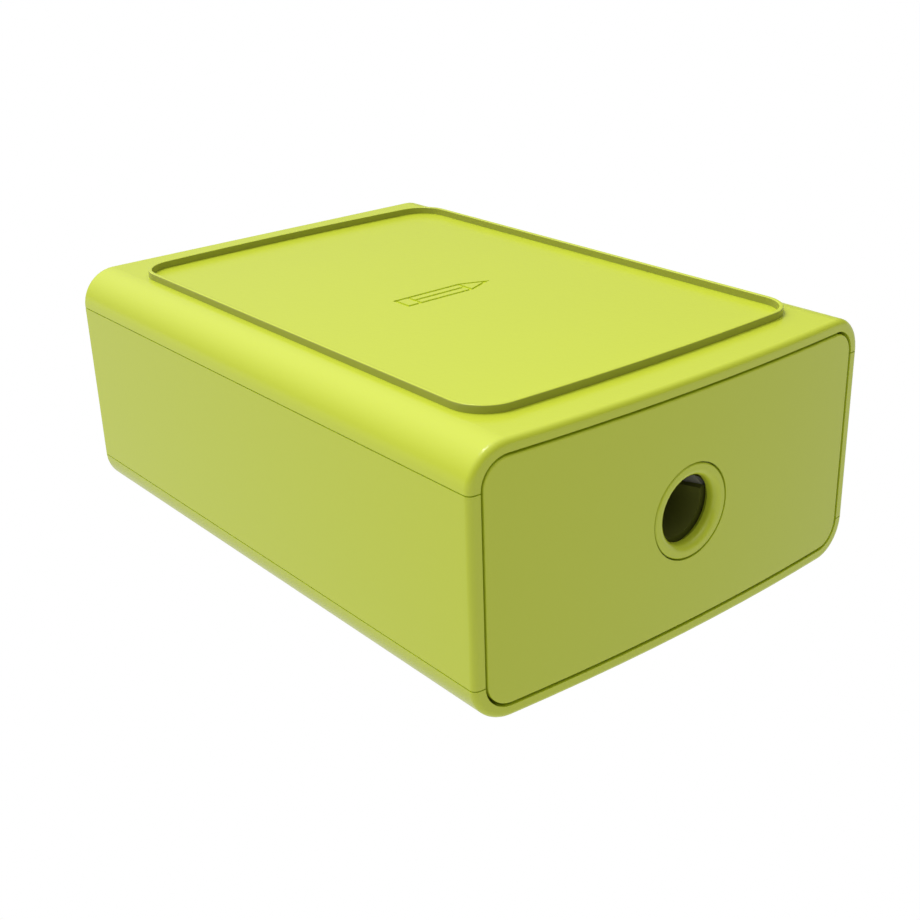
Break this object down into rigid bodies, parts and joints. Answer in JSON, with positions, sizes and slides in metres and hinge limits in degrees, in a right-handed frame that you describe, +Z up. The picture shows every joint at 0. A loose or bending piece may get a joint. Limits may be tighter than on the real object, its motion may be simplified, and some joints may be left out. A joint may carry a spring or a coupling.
{
  "type": "desk pencil sharpener",
  "caption": "Closed lime plastic desk pencil sharpener, a low rounded box with a shavings drawer whose flush front carries the pencil hole, cutting block and blade.",
  "frame": {"origin": "midway along and across the box, on the surface that its feet stand on", "axes": "+X across the box, +Y from the drawer front to the rear, +Z up"},
  "size_m": [0.0668, 0.0934, 0.0366],
  "materials": {
    "lime_shell": "fine satin, moulded lime green",
    "lime_inner": "plain moulded lime green",
    "block_plastic": "dark olive moulded plastic, fine matt",
    "blade_steel": "ground carbon steel with a bright bevel",
    "screw_steel": "zinc plated",
    "plate_steel": "rolled sheet",
    "magnet_nickel": "nickel plated",
    "foot_rubber": "soft black rubber",
    "grip_rubber": "ribbed soft rubber"
  },
  "bodies": {
    "case": {"top_cover": "lime_shell", "side_band": "lime_shell", "bottom_shell": "lime_shell", "housing_screws": "screw_steel", "catch_magnet": "magnet_nickel", "foot_front_left": "foot_rubber", "foot_front_right": "foot_rubber", "foot_rear_left": "foot_rubber", "foot_rear_right": "foot_rubber"},
    "drawer": {"drawer_front": "lime_shell", "guide_collar": "lime_shell", "drawer_tray": "lime_inner", "finger_pad": "grip_rubber", "tray_screws": "screw_steel", "strike_plate": "plate_steel", "block_holder": "lime_inner", "holder_screws": "screw_steel", "sharpener_block": "block_plastic", "sharpener_blade": "blade_steel", "blade_screw": "screw_steel"}
  },
  "joints": [
    {"name": "drawer_slide", "type": "slide", "parent": "case", "child": "drawer", "axis": [0, -1, 0], "range_m": [0, 0.054]}
  ]
}
